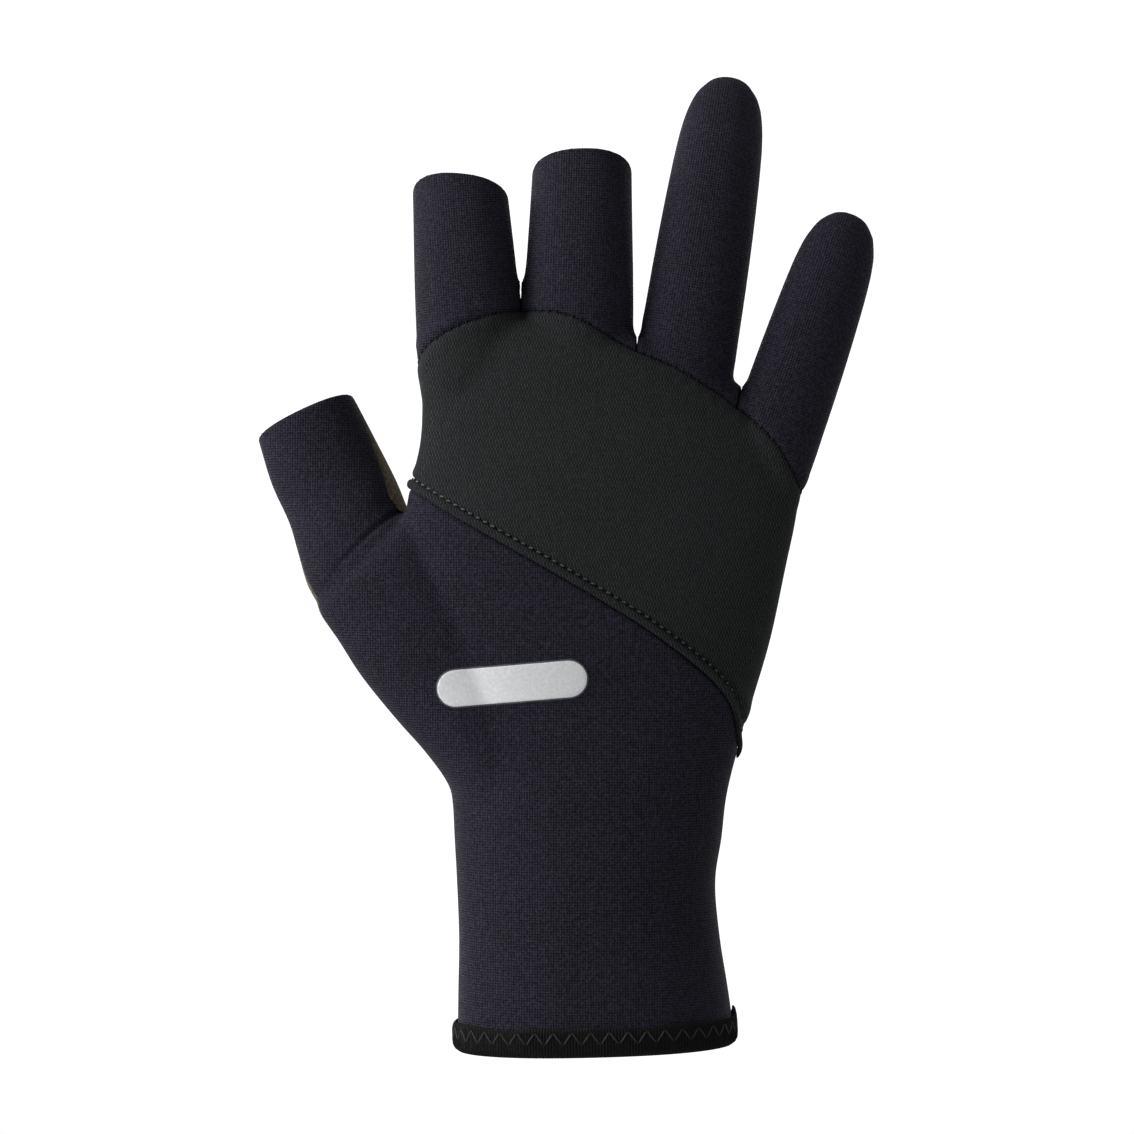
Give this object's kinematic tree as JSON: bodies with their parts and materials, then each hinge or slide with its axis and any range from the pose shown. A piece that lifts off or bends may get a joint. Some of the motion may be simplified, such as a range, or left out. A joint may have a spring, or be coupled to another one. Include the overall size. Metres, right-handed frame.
{
  "type": "fishing glove",
  "caption": "Right-hand foam-rubber fishing glove with cut thumb, index and middle finger, a knuckle panel, a suede palm and a bound cuff.",
  "frame": {"origin": "middle of the hem's opening, where the wrist goes in", "axes": "+Z from the hem to the fingertips, +X from the thumb's side to the little finger's side, +Y from the back of the hand to the palm"},
  "size_m": [0.1562, 0.0696, 0.2469],
  "materials": {
    "navy_cloth": "dark navy jersey laminated on foam rubber",
    "charcoal_cloth": "charcoal ribbed jersey laminated on foam rubber",
    "suede": "brown-grey synthetic suede",
    "binding_tape": "black knitted binding tape",
    "reflective": "plain white heat transfer"
  },
  "bodies": {
    "root": {"cuff_sleeve": "navy_cloth", "hand_panel": "navy_cloth", "thumb_back": "navy_cloth", "knuckle_panel": "charcoal_cloth", "palm_panel": "suede", "thumb_front": "suede", "index_front": "suede", "middle_front": "suede", "ring_front": "suede", "little_front": "suede", "index_back": "navy_cloth", "middle_back": "navy_cloth", "ring_back": "navy_cloth", "little_back": "navy_cloth", "cuff_binding": "binding_tape", "folded_edge": "charcoal_cloth", "reflective_patch": "reflective"}
  },
  "joints": []
}
